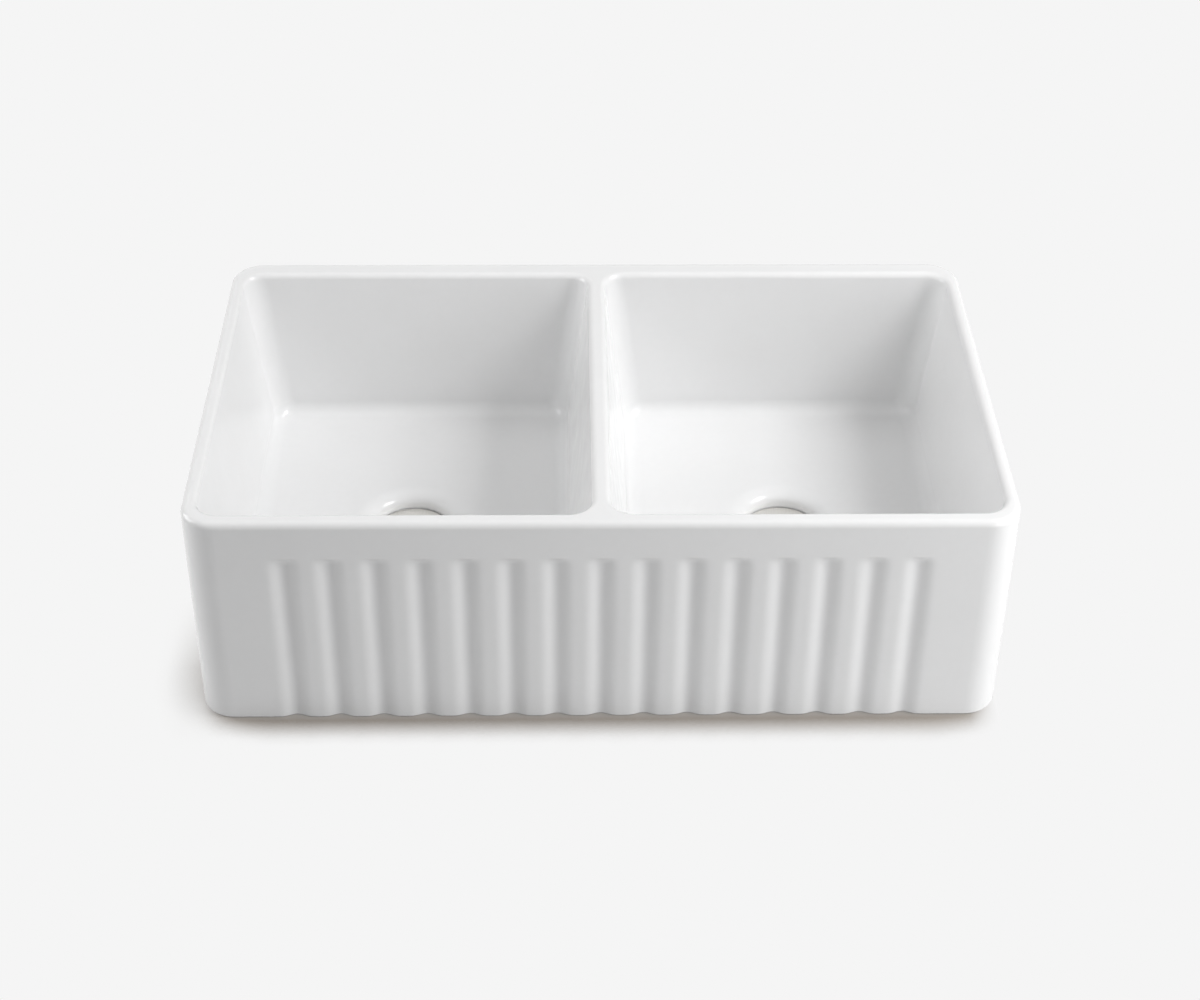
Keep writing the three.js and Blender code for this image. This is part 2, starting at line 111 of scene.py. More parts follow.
def between(start, end, steps):
    """Points from start to end, evenly spaced, with start left out."""
    share = np.arange(1, steps + 1)[:, None] / steps
    return np.asarray(start, float) + share * (np.asarray(end, float) - np.asarray(start, float))


def arc(centre, radius, start, end, steps, first=1):
    """Points of an arc from one angle to another, in degrees, without its start unless first is 0."""
    angle = np.radians(start + (end - start) * np.arange(first, steps + 1) / steps)
    return np.stack([centre[0] + radius * np.cos(angle), centre[1] + radius * np.sin(angle)], 1)


def at_height(points, z):
    return np.column_stack([points, np.full(len(points), float(z))])


def skin(rings, closed=True):
    """Four-sided faces between rings that have the same number of points."""
    count = len(rings[0])
    verts = np.concatenate(rings)
    across = np.arange(count if closed else count - 1)
    after = (across + 1) % count
    faces = []
    for level in range(len(rings) - 1):
        low, high = level * count, (level + 1) * count
        faces.append(np.stack([low + across, low + after, high + after, high + across], 1))
    return verts, np.concatenate(faces)


def together(skins):
    verts, faces = [], []
    offset = 0
    for points, quads in skins:
        verts.append(points)
        faces.append(quads + offset)
        offset += len(points)
    return np.concatenate(verts), np.concatenate(faces)


def mirrored(skin_pair):
    verts, faces = skin_pair
    return verts * [-1, 1, 1], faces[:, ::-1]


def bend_of(mesh):
    """How strongly the surface curves at each point, in 1/mm: above 0 on outer edges, below 0 in hollows."""
    count = len(mesh.vertices)
    places = np.zeros(count * 3)
    normals = np.zeros(count * 3)
    mesh.vertices.foreach_get("co", places)
    mesh.vertices.foreach_get("normal", normals)
    places, normals = places.reshape(-1, 3) / MM, normals.reshape(-1, 3)
    edges = np.zeros(len(mesh.edges) * 2, int)
    mesh.edges.foreach_get("vertices", edges)
    a, b = edges.reshape(-1, 2).T
    step = places[b] - places[a]
    length = np.maximum((step ** 2).sum(1), 1e-6)
    curve = ((normals[b] - normals[a]) * step).sum(1) / length
    total, weight = np.zeros(count), np.zeros(count)
    for ends in (a, b):
        np.add.at(total, ends, curve)
        np.add.at(weight, ends, 1)
    return total / np.maximum(weight, 1)


def make_mesh(name, skins, sharp=40.0, tags=None):
    """One closed smooth mesh from skins that meet, with its curvature kept as the attribute bend."""
    verts, faces = together(skins)
    mesh = bpy.data.meshes.new(name)
    mesh.from_pydata((verts * MM).tolist(), [], faces.tolist())
    for tag, values in (tags or {}).items():
        mesh.attributes.new(tag, "FLOAT", "POINT").data.foreach_set("value", values)
    work = bmesh.new()
    work.from_mesh(mesh)
    bmesh.ops.remove_doubles(work, verts=work.verts, dist=0.002 * MM)
    bmesh.ops.dissolve_degenerate(work, edges=work.edges, dist=0.0005 * MM)
    bmesh.ops.recalc_face_normals(work, faces=work.faces)
    work.to_mesh(mesh)
    work.free()
    return finished(mesh, sharp)


def finished(mesh, sharp=40.0):
    """Smooth shading with sharp edges kept, and the curvature attribute."""
    mesh.shade_smooth()
    mesh.set_sharp_from_angle(angle=math.radians(sharp))
    bend = mesh.attributes.get("bend") or mesh.attributes.new("bend", "FLOAT", "POINT")
    bend.data.foreach_set("value", bend_of(mesh).astype(np.float32))
    return mesh


# ---------------------------------------------------------------------------------------------
# Fireclay body
# ---------------------------------------------------------------------------------------------

def outline(half_x, half_y, radius, z, centre_line=True):
    """Outline of the right half: front, corner, side, corner, back, and back along x = 0."""
    x, y = half_x - radius, half_y - radius
    points = [
        np.array([[0.0, -half_y]]),
        between([0, -half_y], [x, -half_y], FRONT_STEPS),
        arc([x, -y], radius, -90, 0, CORNER_STEPS),
        between([half_x, -y], [half_x, y], SIDE_STEPS),
        arc([x, y], radius, 0, 90, CORNER_STEPS),
        between([x, half_y], [0, half_y], BACK_STEPS),
    ]
    if centre_line:
        points.append(between([0, half_y], [0, -half_y], CENTRE_STEPS)[:-1])
    return at_height(np.concatenate(points), z)


def bowl_ring(half_x, half_y, radius, z):
    """Rounded rectangle of a bowl, point for point beside the outline."""
    x, y = half_x - radius, half_y - radius
    middle = CENTRE_STEPS - 2 * BACK_INNER_STEPS
    points = [
        arc([-x, -y], radius, 225, 270, FRONT_INNER_STEPS, first=0),
        between([-x, -half_y], [x, -half_y], FRONT_STEPS - FRONT_INNER_STEPS),
        arc([x, -y], radius, -90, 0, CORNER_STEPS),
        between([half_x, -y], [half_x, y], SIDE_STEPS),
        arc([x, y], radius, 0, 90, CORNER_STEPS),
        between([x, half_y], [-x, half_y], BACK_STEPS - BACK_INNER_STEPS),
        arc([-x, y], radius, 90, 135, BACK_INNER_STEPS),
        arc([-x, y], radius, 135, 180, BACK_INNER_STEPS),
        between([-half_x, y], [-half_x, -y], middle),
        arc([-x, -y], radius, 180, 225, BACK_INNER_STEPS)[:-1],
    ]
    return at_height(np.concatenate(points) + [BOWL_X, BOWL_Y], z)


def drain_ring(radius, z, like):
    """Circle about the drain with its points at the angles of another ring's points."""
    angle = np.arctan2(like[:, 1] - BOWL_Y, like[:, 0] - BOWL_X)
    circle = np.stack([BOWL_X + radius * np.cos(angle), BOWL_Y + radius * np.sin(angle)], 1)
    return at_height(circle, z)


def groove(x, depth):
    """How far the apron's face lies back at x because of the flutes."""
    beside = (x + FLUTE_PITCH / 2) % FLUTE_PITCH - FLUTE_PITCH / 2
    inside = (np.abs(beside) < FLUTE_WIDTH / 2) & (np.abs(x) < FLUTES * FLUTE_PITCH / 2)
    return np.where(inside, depth * np.cos(np.pi * beside / FLUTE_WIDTH) ** 4, 0)


def apron_ring(z):
    """The outside at height z, with the flutes in its front."""
    ring = outline(WIDTH / 2, DEPTH / 2, CORNER_RADIUS, z, centre_line=False)
    share = np.clip((z - FLUTE_TOP + FLUTE_RUN_OUT) / FLUTE_RUN_OUT, 0, 1)
    front = np.arange(len(ring)) <= FRONT_STEPS
    ring[front, 1] += groove(ring[front, 0], FLUTE_DEPTH * math.cos(share * math.pi / 2))
    return ring


def moved_in(ring, distance):
    """An open outline ring moved inwards, square to its own line."""
    along = np.gradient(ring[:, :2], axis=0)
    along[0] = [1, 0]
    along[-1] = [-1, 0]
    along /= np.linalg.norm(along, axis=1)[:, None]
    out = ring.copy()
    out[:, 0] -= along[:, 1] * distance
    out[:, 1] += along[:, 0] * distance
    return out


def outside_rings():
    """From the foot's outer edge up the apron and over the round of the rim."""
    foot = apron_ring(0)
    rings = []
    for angle in np.linspace(0, math.pi / 2, 6):
        ring = moved_in(foot, BASE_EDGE_RADIUS * (1 - math.sin(angle)))
        ring[:, 2] = BASE_EDGE_RADIUS * (1 - math.cos(angle))
        rings.append(ring)
    heights = [3.5, 8, 30, 70, 110, 150, 185, 196, 199]
    heights += list(FLUTE_TOP - FLUTE_RUN_OUT * (1 - np.linspace(0, 1, 13)))
    heights += [FLUTE_TOP + 1, FLUTE_TOP + 5, 230, 241, 246.2]
    rings += [apron_ring(z) for z in heights]
    for angle in np.linspace(0, math.pi / 2, 13):
        inset = RIM_EDGE_RADIUS * (1 - math.cos(angle))
        rings.append(
            outline(
                WIDTH / 2 - inset,
                DEPTH / 2 - inset,
                CORNER_RADIUS - inset,
                HEIGHT - RIM_EDGE_RADIUS * (1 - math.sin(angle)),
                centre_line=False,
            )
        )
    return rings


def bowl_rings():
    """From the rim's flat top down the bowl's walls and over its floor to the drain's lip."""
    wall_top = HEIGHT - BOWL_EDGE_RADIUS
    wall_height = wall_top - BOWL_FLOOR
    tilt = math.atan((SIDE_DRAFT + FRONT_BACK_DRAFT) / 2 / wall_height)
    tangent = BOWL_FLOOR_RADIUS * math.tan(math.pi / 4 - tilt / 2)
    rings = [
        outline(
            WIDTH / 2 - RIM_EDGE_RADIUS,
            DEPTH / 2 - RIM_EDGE_RADIUS,
            CORNER_RADIUS - RIM_EDGE_RADIUS,
            HEIGHT,
        )
    ]
    for angle in np.linspace(math.pi / 2, 0, 11):
        flare = BOWL_EDGE_RADIUS * (1 - math.cos(angle))
        rings.append(
            bowl_ring(
                BOWL_HALF_X + flare,
                BOWL_HALF_Y + flare,
                BOWL_CORNER_RADIUS + flare,
                wall_top + BOWL_EDGE_RADIUS * math.sin(angle),
            )
        )
    floor_start = BOWL_FLOOR + BOWL_FLOOR_RADIUS * (1 - math.sin(tilt))
    for z in [wall_top - 1.5, wall_top - 12, 200, 160, 120, floor_start + 8, floor_start + 1.5]:
        draft = (wall_top - z) / wall_height
        rings.append(
            bowl_ring(
                BOWL_HALF_X - draft * SIDE_DRAFT,
                BOWL_HALF_Y - draft * FRONT_BACK_DRAFT,
                BOWL_CORNER_RADIUS,
                z,
            )
        )
    for angle in np.linspace(tilt, math.pi / 2, 13):
        inset = tangent - BOWL_FLOOR_RADIUS * math.cos(angle)
        rings.append(
            bowl_ring(
                BOWL_HALF_X - SIDE_DRAFT - inset,
                BOWL_HALF_Y - FRONT_BACK_DRAFT - inset,
                BOWL_CORNER_RADIUS - inset,
                BOWL_FLOOR + BOWL_FLOOR_RADIUS * (1 - math.sin(angle)),
            )
        )
    edge = rings[-1]
    lip = drain_ring(THROAT_RADIUS + LIP_WIDTH, BOWL_FLOOR, edge)
    for share in [0.02, 0.12, 0.3, 0.5, 0.7, 0.88, 0.98]:
        rings.append(edge + share * (lip - edge))
    for angle in np.linspace(math.pi / 2, 0, 15):
        radius = THROAT_RADIUS + LIP_WIDTH * (1 - math.cos(angle))
        rings.append(drain_ring(radius, BOWL_FLOOR - LIP_DROP * (1 - math.sin(angle)), edge))
    return rings


def under_rings(like):
    """From the drain's throat through the ledge and its bore to the underside."""
    edge, boss_edge, fillet = LEDGE_EDGE_RADIUS, BOSS_EDGE_RADIUS, BOSS_FILLET
    corners = [
        ((THROAT_RADIUS - edge, LEDGE + edge), edge, 0, -90),
        ((LEDGE_BORE + edge, LEDGE - edge), edge, 90, 180),
        ((LEDGE_BORE + edge, BOSS_BOTTOM + edge), edge, 180, 270),
        ((BOSS_RADIUS - boss_edge, BOSS_BOTTOM + boss_edge), boss_edge, -90, 0),
        ((BOSS_RADIUS + fillet, UNDERSIDE - fillet), fillet, 180, 90),
    ]
    profile = [(THROAT_RADIUS, BOWL_FLOOR - LIP_DROP - 1), (THROAT_RADIUS, LEDGE + 2)]
    for centre, size, start, end in corners:
        profile += arc(centre, size, start, end, 7, first=0).tolist()
    rings = [drain_ring(radius, z, like) for radius, z in profile]
    boss = rings[-1]
    ceiling = outline(*recess_size(RECESS_FILLET), UNDERSIDE)
    for share in [0.02, 0.15, 0.4, 0.7, 0.95]:
        rings.append(boss + share * (ceiling - boss))
    return rings + [ceiling]


def recess_size(inset):
    """Half sizes and corner radius of the hollow under the bowls, moved in by inset."""
    return (
        WIDTH / 2 - SKIRT_THICKNESS - inset,
        DEPTH / 2 - SKIRT_THICKNESS - inset,
        max(RECESS_CORNER_RADIUS - inset, 3),
    )


def recess_rings():
    """From the underside down the hollow's wall and round the foot's inner edge."""
    rings = []
    for angle in np.radians(np.linspace(90, 0, 9)):
        inset = RECESS_FILLET * (1 - math.cos(angle))
        z = UNDERSIDE - RECESS_FILLET * (1 - math.sin(angle))
        rings.append(outline(*recess_size(inset), z, centre_line=False))
    rings.append(outline(*recess_size(0), FOOT_INNER_RADIUS + 2, centre_line=False))
    for angle in np.radians(np.linspace(0, 90, 6)):
        inset = -FOOT_INNER_RADIUS * (1 - math.cos(angle))
        z = FOOT_INNER_RADIUS * (1 - math.sin(angle))
        rings.append(outline(*recess_size(inset), z, centre_line=False))
    return rings


def sink_mesh():
    outside = outside_rings()
    bowl = bowl_rings()
    under = under_rings(bowl[-1])
    recess = recess_rings()
    throat = [bowl[-1], under[0], under[1]]
    below_glaze = under[1:]
    foot = [recess[-1], outside[0]]
    # Rings, whether they close, and how bare the clay is at each ring, alike where two skins meet
    half = [
        (outside, False, [0] * len(outside)),
        (bowl, True, [0] * len(bowl)),
        (throat, True, [0] * len(throat)),
        (below_glaze, True, [0] + [1] * (len(below_glaze) - 1)),
        (recess, False, [1] * len(recess)),
        (foot, False, [1, 0]),
    ]
    skins, bare = [], []
    for rings, closed, clay in half:
        part = skin(rings, closed=closed)
        for side in (part, mirrored(part)):
            skins.append(side)
            bare.append(np.repeat(np.array(clay, np.float32), len(rings[0])))
    return make_mesh("sink_glazed_body", skins, sharp=60, tags={"bare": np.concatenate(bare)})


# ---------------------------------------------------------------------------------------------
# Drain fitting: profiles turned about +Z
# ---------------------------------------------------------------------------------------------

# Sizes that the frame doesn't tell
FINE = 96
COVER_THICKNESS = 2.0
COVER_FOOT_RADIUS = 2.5
COVER_FOOT_PLACE = 36.3
COVER_FEET = 3
BARREL_RADIUS = 34.0
SHEET = 1.6
OUTLET_RADIUS = 20.6
SPIGOT_RADIUS = 23.2
CUP_UNDERSIDE = 15.1
HUB_BORE = 5.5
HUB_RADIUS = 8.0
SPOKE_WIDTH = 2.6
SPOKES = 4
CROSSBAR_DROP = 0.3
THREAD_PITCH = 2.6
THREAD_DEPTH = 0.6
BASKET_SHEET = 1.2
BASKET_MOUTH_RADIUS = 31.4
BASKET_FOOT_RADIUS = 26.9
HOLE_RADIUS = 2.2
HOLE_PITCH = 7.0
HOLE_CIRCLES = (10.1, 17.1)
SLOTS = 12
SLOT_WIDTH = 3.2
SLOT_HEIGHT = 11.0
POST_RADIUS = 2.8
POST_HOLE = 3.1
SHOULDER_RADIUS = 4.5
SHOULDER_HEIGHT = 4.5
KNOB_HEIGHT = 7.0
KNOB_FLARE = 3.0
SEAL_BEAD_RADIUS = 19.3
CLIP_LEAF = 0.8
CLIP_BREADTH = 4.0
LOCK_NUT_BORE = 34.4
SLIP_NUT_BORE = 23.6
LIP_BORE = 19.85
LIP_THICKNESS = 1.8
TAPER_BORE = 19.45
TAPER_TOP_RADIUS = 21.9
LUGS = 6
LUG_WIDTH = 12.0
LUG_REACH = 6.0
RIB_WIDTH = 5.0
RIB_REACH = 1.2


def span(node):
    """Lowest and highest level and outer radius of a fitting's node, in millimetres."""
    low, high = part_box(f"left_{node}")
    return low[2] / MM, high[2] / MM, (high[0] - low[0]) / 2 / MM


def rounded(corners, steps=5):
    """A closed profile of (x, y, radius) corners with each corner turned into an arc."""
    points = []
    count = len(corners)
    for i, (x, y, radius) in enumerate(corners):
        here = np.array([x, y], float)
        back = np.array(corners[i - 1][:2], float) - here
        ahead = np.array(corners[(i + 1) % count][:2], float) - here
        if radius <= 0:
            points.append(here)
            continue
        a, b = back / np.linalg.norm(back), ahead / np.linalg.norm(ahead)
        half = math.acos(np.clip(a @ b, -1, 1)) / 2
        reach = radius / math.tan(half)
        centre = here + (a + b) / np.linalg.norm(a + b) * radius / math.sin(half)
        start, end = here + a * reach - centre, here + b * reach - centre
        turn = math.atan2(start[0] * end[1] - start[1] * end[0], start @ end)
        first = math.atan2(start[1], start[0])
        for step in range(steps + 1):
            angle = first + turn * step / steps
            points.append(centre + radius * np.array([math.cos(angle), math.sin(angle)]))
    return np.array(points)


def split_long(profile, longest, closed=True):
    """The same profile with extra points so that no part of it is longer than longest."""
    points = []
    ends = np.roll(profile, -1, 0) if closed else profile[1:]
    for start, end in zip(profile, ends):
        parts = max(1, math.ceil(np.linalg.norm(end - start) / longest))
        points += [start + (end - start) * i / parts for i in range(parts)]
    if not closed:
        points.append(profile[-1])
    return np.array(points)


def turned(profile, segments=FINE, reshape=None):
    """A closed profile of (radius, height) points turned about +Z."""
    angles = np.arange(segments) * 2 * np.pi / segments
    rings = []
    for radius, height in profile:
        r, z = np.full(segments, radius), np.full(segments, height)
        if reshape:
            r, z = reshape(r, z, angles)
        rings.append(np.stack([r * np.cos(angles), r * np.sin(angles), z], 1))
    rings.append(rings[0])
    return skin(rings)


def threaded(radius, low, high, pitch, depth, inner=False):
    """A reshape that cuts a screw thread into the wall of that radius between two heights."""
    def reshape(r, z, angles):
        on_wall = (np.abs(r - radius) < 0.01) & (z >= low) & (z <= high)
        phase = z / pitch - angles / (2 * np.pi)
        wave = np.abs((phase % 1) * 2 - 1)
        fade = np.clip(np.minimum(z - low, high - z) / pitch, 0, 1)
        shift = depth * np.clip(wave * 1.5 - 0.25, 0, 1) * fade
        return np.where(on_wall, r + (shift if inner else -shift), r), z
    return reshape


def edge_levels(low, high, edge, steps=3):
    """How far in and how high each ring lies, round a lower edge and then round an upper one."""
    turn = np.radians(np.linspace(0, 90, steps + 1))
    lower = [(edge * (1 - math.sin(a)), low + edge * (1 - math.cos(a))) for a in turn]
    upper = [(edge * (1 - math.cos(a)), high - edge * (1 - math.sin(a))) for a in turn]
    return lower + upper


def contour_ring(contour, inner, low, high, edge):
    """A ring with any star-shaped contour outside and a profile of (radius, height) down its bore."""
    angle = np.arctan2(contour[:, 1], contour[:, 0])
    along = np.roll(contour, -1, 0) - np.roll(contour, 1, 0)
    along /= np.linalg.norm(along, axis=1)[:, None]
    normal = np.stack([along[:, 1], -along[:, 0]], 1)
    circle = np.stack([np.cos(angle), np.sin(angle)], 1)
    rings = [at_height(contour - normal * inset, z) for inset, z in edge_levels(low, high, edge)]
    rings += [at_height(circle * radius, z) for radius, z in inner]
    return skin([*rings, rings[0]])


def lugged_contour(radius, count, half_width, reach, round_radius, steps):
    """A circle with square lugs, as one closed line with rounded corners."""
    corners = []
    foot = math.asin(half_width / radius)
    for i in range(count):
        middle = i * 2 * math.pi / count
        direction = np.array([math.cos(middle), math.sin(middle)])
        side = np.array([-direction[1], direction[0]])
        shoulder = radius * math.cos(foot)
        tip = radius + reach
        for out, across, bend in (
            (shoulder, -half_width, round_radius),
            (tip, -half_width, round_radius),
            (tip, half_width, round_radius),
            (shoulder, half_width, round_radius),
        ):
            corners.append((*(direction * out + side * across), bend))
        gap = 2 * math.pi / count - 2 * foot
        for step in range(1, steps):
            angle = middle + foot + gap * step / steps
            corners.append((radius * math.cos(angle), radius * math.sin(angle), 0))
    return rounded(corners, 4)


def moved(skin_pair, offset):
    verts, faces = skin_pair
    return verts + np.asarray(offset, float), faces


def turned_about(skin_pair, angle):
    verts, faces = skin_pair
    c, s = math.cos(angle), math.sin(angle)
    turn = np.array([[c, s, 0], [-s, c, 0], [0, 0, 1]])
    return verts @ turn, faces


def rod(radius, low, high, edge, segments=32):
    """An upright rod with rounded ends."""
    return turned(rounded([(0, low, 0), (radius, low, edge), (radius, high, edge), (0, high, 0)]), segments)


def capped(rings):
    """A skin over rings, closed at both ends by faces that meet in the middle."""
    bottom, top = (np.repeat(ring.mean(0)[None], len(ring), 0) for ring in (rings[0], rings[-1]))
    return skin([bottom, *rings, top])


def slab(size_x, size_y, low, high, edge):
    """A box with rounded upright and level edges."""
    x, y = size_x / 2, size_y / 2
    corners = [(x, -y), (x, y), (-x, y), (-x, -y)]
    rings = []
    for inset, z in edge_levels(low, high, edge):
        radius = edge * 1.001 - inset * 0.999
        around = [(a - math.copysign(inset, a), b - math.copysign(inset, b), radius) for a, b in corners]
        rings.append(at_height(rounded(around, 3), z))
    return capped(rings)


def combined(mesh, other, operation):
    """A mesh with another one cut out of it or joined to it."""
    body = bpy.data.objects.new("body", mesh)
    tool = bpy.data.objects.new("tool", other)
    for made in (body, tool):
        bpy.context.scene.collection.objects.link(made)
    change = body.modifiers.new("change", "BOOLEAN")
    change.operation = operation
    change.solver = "EXACT"
    change.use_self = True
    change.object = tool
    graph = bpy.context.evaluated_depsgraph_get()
    result = bpy.data.meshes.new_from_object(body.evaluated_get(graph))
    for made in (body, tool):
        bpy.data.objects.remove(made)
    result.name = mesh.name
    return result


def cover_mesh():
    foot_bottom, top, radius = span("drain_cover")
    bottom = top - COVER_THICKNESS
    disc = rounded([(0, bottom, 0), (radius, bottom, 0.6), (radius, top, 0.8), (0, top, 0)])
    disc = make_mesh("cover_disc", [turned(split_long(disc, 6))])
    feet = []
    for i in range(COVER_FEET):
        foot = moved(rod(COVER_FOOT_RADIUS, foot_bottom, bottom + 1, 0.6), (COVER_FOOT_PLACE, 0, 0))
        feet.append(turned_about(foot, i * 2 * math.pi / COVER_FEET))
    return finished(combined(disc, make_mesh("feet", feet), "UNION"), 35)


def basket_mesh():
    bottom, top, rim = span("basket")
    floor_top = bottom + BASKET_SHEET
    profile = rounded(
        [
            (POST_HOLE, bottom, 0.3),
            (BASKET_FOOT_RADIUS, bottom, 4.2),
            (BASKET_MOUTH_RADIUS, top - BASKET_SHEET, 1.3),
            (rim, top - BASKET_SHEET, 0.55),
            (rim, top, 0.55),
            (BASKET_MOUTH_RADIUS - BASKET_SHEET, top, 2.5),
            (BASKET_FOOT_RADIUS - BASKET_SHEET, floor_top, 3.0),
            (POST_HOLE, floor_top, 0.3),
        ]
    )
    cup = make_mesh("basket_cup", [turned(split_long(profile, 3))])
    cutters = []
    for radius in HOLE_CIRCLES:
        count = int(2 * math.pi * radius / HOLE_PITCH)
        for i in range(count):
            drill = moved(rod(HOLE_RADIUS, bottom - 1, floor_top + 1, 0.05, 24), (radius, 0, 0))
            cutters.append(turned_about(drill, i * 2 * math.pi / count))
    middle = (bottom + top) / 2 + 1.5
    place = (BASKET_FOOT_RADIUS + BASKET_MOUTH_RADIUS) / 2
    for i in range(SLOTS):
        cutter = slab(9, SLOT_WIDTH, middle - SLOT_HEIGHT / 2, middle + SLOT_HEIGHT / 2, 0.9)
        cutters.append(turned_about(moved(cutter, (place, 0, 0)), (i + 0.5) * 2 * math.pi / SLOTS))
    return finished(combined(cup, make_mesh("cutters", cutters), "DIFFERENCE"), 35)


def post_mesh():
    bottom, top, knob = span("basket_post")
    shoulder = span("basket")[0] + BASKET_SHEET + 0.3
    profile = rounded(
        [
            (0, bottom, 0),
            (POST_RADIUS, bottom, 0.4),
            (POST_RADIUS, shoulder, 0.2),
            (SHOULDER_RADIUS, shoulder, 0.3),
            (SHOULDER_RADIUS, shoulder + SHOULDER_HEIGHT / 2, 0.6),
            (POST_RADIUS, shoulder + SHOULDER_HEIGHT, 1.5),
            (POST_RADIUS, top - KNOB_HEIGHT, 1.2),
            (knob, top - KNOB_HEIGHT + KNOB_FLARE, 1.2),
            (knob, top, 2.2),
            (0, top, 0),
        ]
    )
    return make_mesh("post_and_knob", [turned(split_long(profile, 2), 64)])


def seal_mesh():
    bottom, top, radius = span("stopper_seal")
    chamfer = 1.4
    profile = rounded(
        [
            (POST_HOLE, bottom, 0.3),
            (SEAL_BEAD_RADIUS - 0.8, bottom, 0.8),
            (SEAL_BEAD_RADIUS, bottom + 0.6, 0.5),
            (OUTLET_RADIUS, bottom, 0.6),
            (radius, bottom + chamfer, 0.5),
            (radius, top - chamfer, 0.5),
            (OUTLET_RADIUS, top, 0.8),
            (POST_HOLE, top, 0.3),
        ],
        4,
    )
    return make_mesh("seal_disc", [turned(split_long(profile, 2))])


def smooth_line(points, steps):
    """A smooth curve through points in a plane."""
    ends = np.concatenate([[2 * points[0] - points[1]], points, [2 * points[-1] - points[-2]]])
    line = []
    for p0, p1, p2, p3 in zip(ends, ends[1:], ends[2:], ends[3:]):
        for t in np.arange(steps) / steps:
            slope = (p2 - p0) * t
            swing = (2 * p0 - 5 * p1 + 4 * p2 - p3) * t ** 2
            twist = (3 * p1 - p0 - 3 * p2 + p3) * t ** 3
            line.append(p1 + (slope + swing + twist) / 2)
    return np.array(line + [points[-1]])


def clip_mesh():
    """Two springy leaves joined at the top, bent from one strip."""
    foot, top, half = span("spring_clip")
    half -= CLIP_LEAF / 2
    height = top - foot
    leaf = np.array(
        [
            (-0.45 * half, foot + 0.02 * height),
            (-0.72 * half, foot + 0.25 * height),
            (-0.97 * half, foot + 0.5 * height),
            (-0.78 * half, foot + 0.77 * height),
            (-0.48 * half, top - CLIP_LEAF * 0.56),
            (0, top - CLIP_LEAF / 2),
        ]
    )
    line = smooth_line(np.concatenate([leaf, (leaf * [-1, 1])[-2::-1]]), 6)
    along = np.gradient(line, axis=0)
    along /= np.linalg.norm(along, axis=1)[:, None]
    normal = np.stack([-along[:, 1], along[:, 0]], 1)
    t, w = CLIP_LEAF / 2, CLIP_BREADTH / 2
    section = rounded([(-t, -w, 0.2), (t, -w, 0.2), (t, w, 0.2), (-t, w, 0.2)], 2)
    rings = []
    for place, side in zip(line, normal):
        rings.append(np.array([(place[0] + side[0] * x, y, place[1] + side[1] * x) for x, y in section]))
    return make_mesh("clip_fork", [capped(rings)], 50)


def strainer_mesh():
    bottom, top, flange = span("strainer_body")
    inside = CUP_UNDERSIDE + SHEET
    profile = rounded(
        [
            (OUTLET_RADIUS, bottom, 0.3),
            (SPIGOT_RADIUS, bottom, 0.4),
            (SPIGOT_RADIUS, CUP_UNDERSIDE, 1.0),
            (BARREL_RADIUS, CUP_UNDERSIDE, 2.0),
            (BARREL_RADIUS, top - SHEET, 0.5),
            (flange, top - SHEET, 0.4),
            (flange, top, 0.6),
            (BARREL_RADIUS - SHEET, top, 1.6),
            (BARREL_RADIUS - SHEET, inside, 1.6),
            (OUTLET_RADIUS, inside, 0.8),
        ]
    )
    reshape = threaded(BARREL_RADIUS, inside + 0.8, top - SHEET - 1.6, THREAD_PITCH, THREAD_DEPTH)
    cup = make_mesh("strainer_cup", [turned(split_long(profile, 0.45), 120, reshape)], 35)
    bar_top = inside - CROSSBAR_DROP
    hub = [
        (HUB_BORE, CUP_UNDERSIDE, 0.3),
        (HUB_RADIUS, CUP_UNDERSIDE, 0.3),
        (HUB_RADIUS, bar_top, 0.3),
        (HUB_BORE, bar_top, 0.3),
    ]
    bars = [turned(rounded(hub, 3), 48)]
    inner, outer = (HUB_BORE + HUB_RADIUS) / 2, (OUTLET_RADIUS + SPIGOT_RADIUS) / 2
    for i in range(SPOKES):
        bar = slab(outer - inner, SPOKE_WIDTH, CUP_UNDERSIDE, bar_top, 0.3)
        bars.append(turned_about(moved(bar, ((outer + inner) / 2, 0, 0)), i * 2 * math.pi / SPOKES))
    return finished(combined(cup, make_mesh("bars", bars), "UNION"), 35)


def ring_mesh(name, node, bore, edge, top_radius=None):
    """A flat ring that fills its node, with its edges rounded."""
    bottom, top, radius = span(node)
    corners = [
        (bore, bottom, edge),
        (radius, bottom, edge),
        (top_radius or radius, top, edge),
        (bore, top, edge),
    ]
    return make_mesh(name, [turned(split_long(rounded(corners, 4), 3))])


def lock_nut_mesh():
    bottom, top, tip = span("lock_nut")
    contour = lugged_contour(tip - LUG_REACH, LUGS, LUG_WIDTH / 2, LUG_REACH, 1.6, 10)
    edge = 0.8
    bore = [
        (LOCK_NUT_BORE + edge, top),
        (LOCK_NUT_BORE, top - edge),
        (LOCK_NUT_BORE, bottom + edge),
        (LOCK_NUT_BORE + edge, bottom),
    ]
    return make_mesh("lock_nut", [contour_ring(contour, bore, bottom, top, edge)], 50)


def slip_nut_mesh():
    bottom, top, tip = span("coupling_nut")
    contour = lugged_contour(tip - RIB_REACH, LUGS, RIB_WIDTH / 2, RIB_REACH, 0.5, 10)
    edge = 0.5
    bore = [
        (SLIP_NUT_BORE + edge, top),
        (SLIP_NUT_BORE, top - edge),
        (SLIP_NUT_BORE, bottom + LIP_THICKNESS),
        (LIP_BORE + edge, bottom + LIP_THICKNESS),
        (LIP_BORE, bottom + LIP_THICKNESS - edge),
        (LIP_BORE, bottom + edge),
        (LIP_BORE + edge, bottom),
    ]
    return make_mesh("slip_nut", [contour_ring(contour, bore, bottom, top, 0.7)], 50)


# ---------------------------------------------------------------------------------------------
# Materials
# ---------------------------------------------------------------------------------------------

